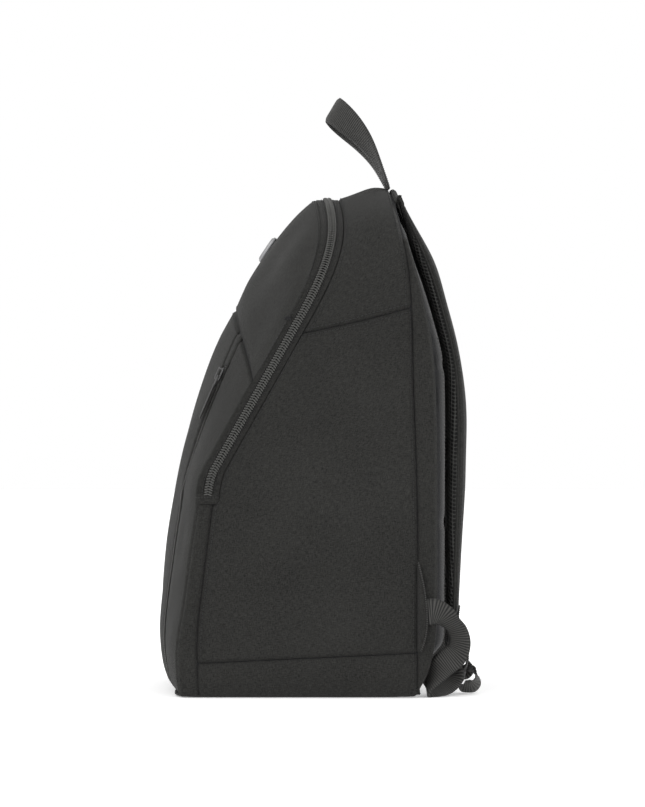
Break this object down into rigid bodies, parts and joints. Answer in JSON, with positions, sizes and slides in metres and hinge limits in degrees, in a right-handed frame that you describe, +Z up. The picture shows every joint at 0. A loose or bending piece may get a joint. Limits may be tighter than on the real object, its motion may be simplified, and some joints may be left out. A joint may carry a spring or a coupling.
{
  "type": "skate bag",
  "caption": "Backpack-style ice skate bag with a clamshell front flap, zipped front pocket, padded back, shoulder straps and haul handle.",
  "frame": {"origin": "centre of the flat underside of the base, on the floor", "axes": "+Z up, +Y towards the back panel and shoulder straps, +X to the wearer's right"},
  "size_m": [0.3374, 0.2836, 0.5329],
  "materials": {
    "shell_fabric": "fine matte oxford weave",
    "webbing": "ribbed webbing",
    "air_mesh": "open air mesh over foam",
    "zip_tape": "woven tape",
    "zip_coil": "nylon coil",
    "slider_metal": "black enamel",
    "pull_tab": "moulded",
    "badge_metal": "satin",
    "buckle_plastic": "moulded",
    "lining_fabric": "plain lining",
    "foam": "closed-cell foam",
    "board_plastic": "stiff sheet"
  },
  "bodies": {
    "bag_body": {"side_panel_right": "shell_fabric", "side_panel_left": "shell_fabric", "top_yoke": "shell_fabric", "base_band_right": "shell_fabric", "base_band_left": "shell_fabric", "base_panel": "shell_fabric", "back_gusset_right": "shell_fabric", "back_gusset_left": "shell_fabric", "back_panel": "air_mesh", "back_foam": "foam", "back_board": "board_plastic", "base_board": "board_plastic", "front_strip_right": "shell_fabric", "front_strip_left": "shell_fabric", "zip_end_patches": "shell_fabric", "pocket_panel_lower": "shell_fabric", "pocket_side_lower_right": "shell_fabric", "pocket_side_lower_left": "shell_fabric", "pocket_divider": "lining_fabric", "bag_zip_tape": "zip_tape", "bag_zip_coil": "zip_coil", "pocket_zip_lower_right": "zip_tape", "pocket_zip_lower_left": "zip_tape", "strap_yoke": "shell_fabric", "wing_tab_right": "shell_fabric", "wing_tab_left": "shell_fabric", "lower_webbing_right": "webbing", "lower_webbing_left": "webbing"},
    "flap": {"flap_zip_tape": "zip_tape", "flap_zip_coil": "zip_coil", "upper_front_panel": "shell_fabric", "pocket_panel_upper": "shell_fabric", "pocket_side_upper_right": "shell_fabric", "pocket_side_upper_left": "shell_fabric", "flap_lining": "lining_fabric", "badge_plate": "badge_metal", "pocket_zip_right": "zip_tape", "pocket_zip_left": "zip_tape"},
    "main_slider": {"main_slider": "slider_metal"},
    "main_puller": {"main_puller": "pull_tab"},
    "pocket_slider_right": {"pocket_slider_right": "slider_metal"},
    "pocket_slider_left": {"pocket_slider_left": "slider_metal"},
    "pocket_puller_right": {"pocket_puller_right": "pull_tab"},
    "pocket_puller_left": {"pocket_puller_left": "pull_tab"},
    "handle": {"haul_handle": "webbing"},
    "strap_right": {"strap_pad_right": "shell_fabric", "strap_mesh_right": "air_mesh", "strap_tail_right": "webbing"},
    "strap_left": {"strap_pad_left": "shell_fabric", "strap_mesh_left": "air_mesh", "strap_tail_left": "webbing"},
    "buckle_right": {"buckle_right": "buckle_plastic"},
    "buckle_left": {"buckle_left": "buckle_plastic"}
  },
  "joints": [
    {"name": "flap_fold", "type": "hinge", "parent": "bag_body", "child": "flap", "pos_m": [0, -0.1112, 0.174], "axis": [1, 0, 0], "range_deg": [0, 95]},
    {"name": "main_slider_run", "type": "slide", "parent": "bag_body", "child": "main_slider", "axis": [0.0264, 0.4905, 0.871], "range_m": [0, 0.12]},
    {"name": "main_puller_swing", "type": "hinge", "parent": "main_slider", "child": "main_puller", "pos_m": [-0.15783, -0.07051, 0.20686], "axis": [-0.0149, 0.8714, -0.4903], "range_deg": [0, 150]},
    {"name": "pocket_slider_run_right", "type": "hinge", "parent": "flap", "child": "pocket_slider_right", "pos_m": [0.1, 0.6969, -0.0448], "axis": [1, 0, 0], "range_deg": [0, 3.7]},
    {"name": "pocket_puller_swing_right", "type": "hinge", "parent": "pocket_slider_right", "child": "pocket_puller_right", "pos_m": [0.1, -0.07345, 0.28021], "axis": [-1, 0, 0], "range_deg": [0, 150]},
    {"name": "pocket_slider_run_left", "type": "hinge", "parent": "flap", "child": "pocket_slider_left", "pos_m": [-0.1, 0.6969, -0.0448], "axis": [1, 0, 0], "range_deg": [0, 3.7]},
    {"name": "pocket_puller_swing_left", "type": "hinge", "parent": "pocket_slider_left", "child": "pocket_puller_left", "pos_m": [-0.1, -0.07345, 0.28021], "axis": [-1, 0, 0], "range_deg": [0, 150]},
    {"name": "handle_swing", "type": "hinge", "parent": "bag_body", "child": "handle", "pos_m": [0, 0.078, 0.4505], "axis": [1, 0, 0], "range_deg": [-85, 38]},
    {"name": "strap_swing_right", "type": "hinge", "parent": "bag_body", "child": "strap_right", "pos_m": [0.062, 0.086, 0.436], "axis": [1, 0, 0], "range_deg": [0, 20]},
    {"name": "buckle_tilt_right", "type": "hinge", "parent": "strap_right", "child": "buckle_right", "pos_m": [0.104, 0.137, 0.0565], "axis": [1, 0, 0], "range_deg": [-20, 10]},
    {"name": "strap_swing_left", "type": "hinge", "parent": "bag_body", "child": "strap_left", "pos_m": [-0.062, 0.086, 0.436], "axis": [1, 0, 0], "range_deg": [0, 20]},
    {"name": "buckle_tilt_left", "type": "hinge", "parent": "strap_left", "child": "buckle_left", "pos_m": [-0.104, 0.137, 0.0565], "axis": [1, 0, 0], "range_deg": [-20, 10]}
  ]
}
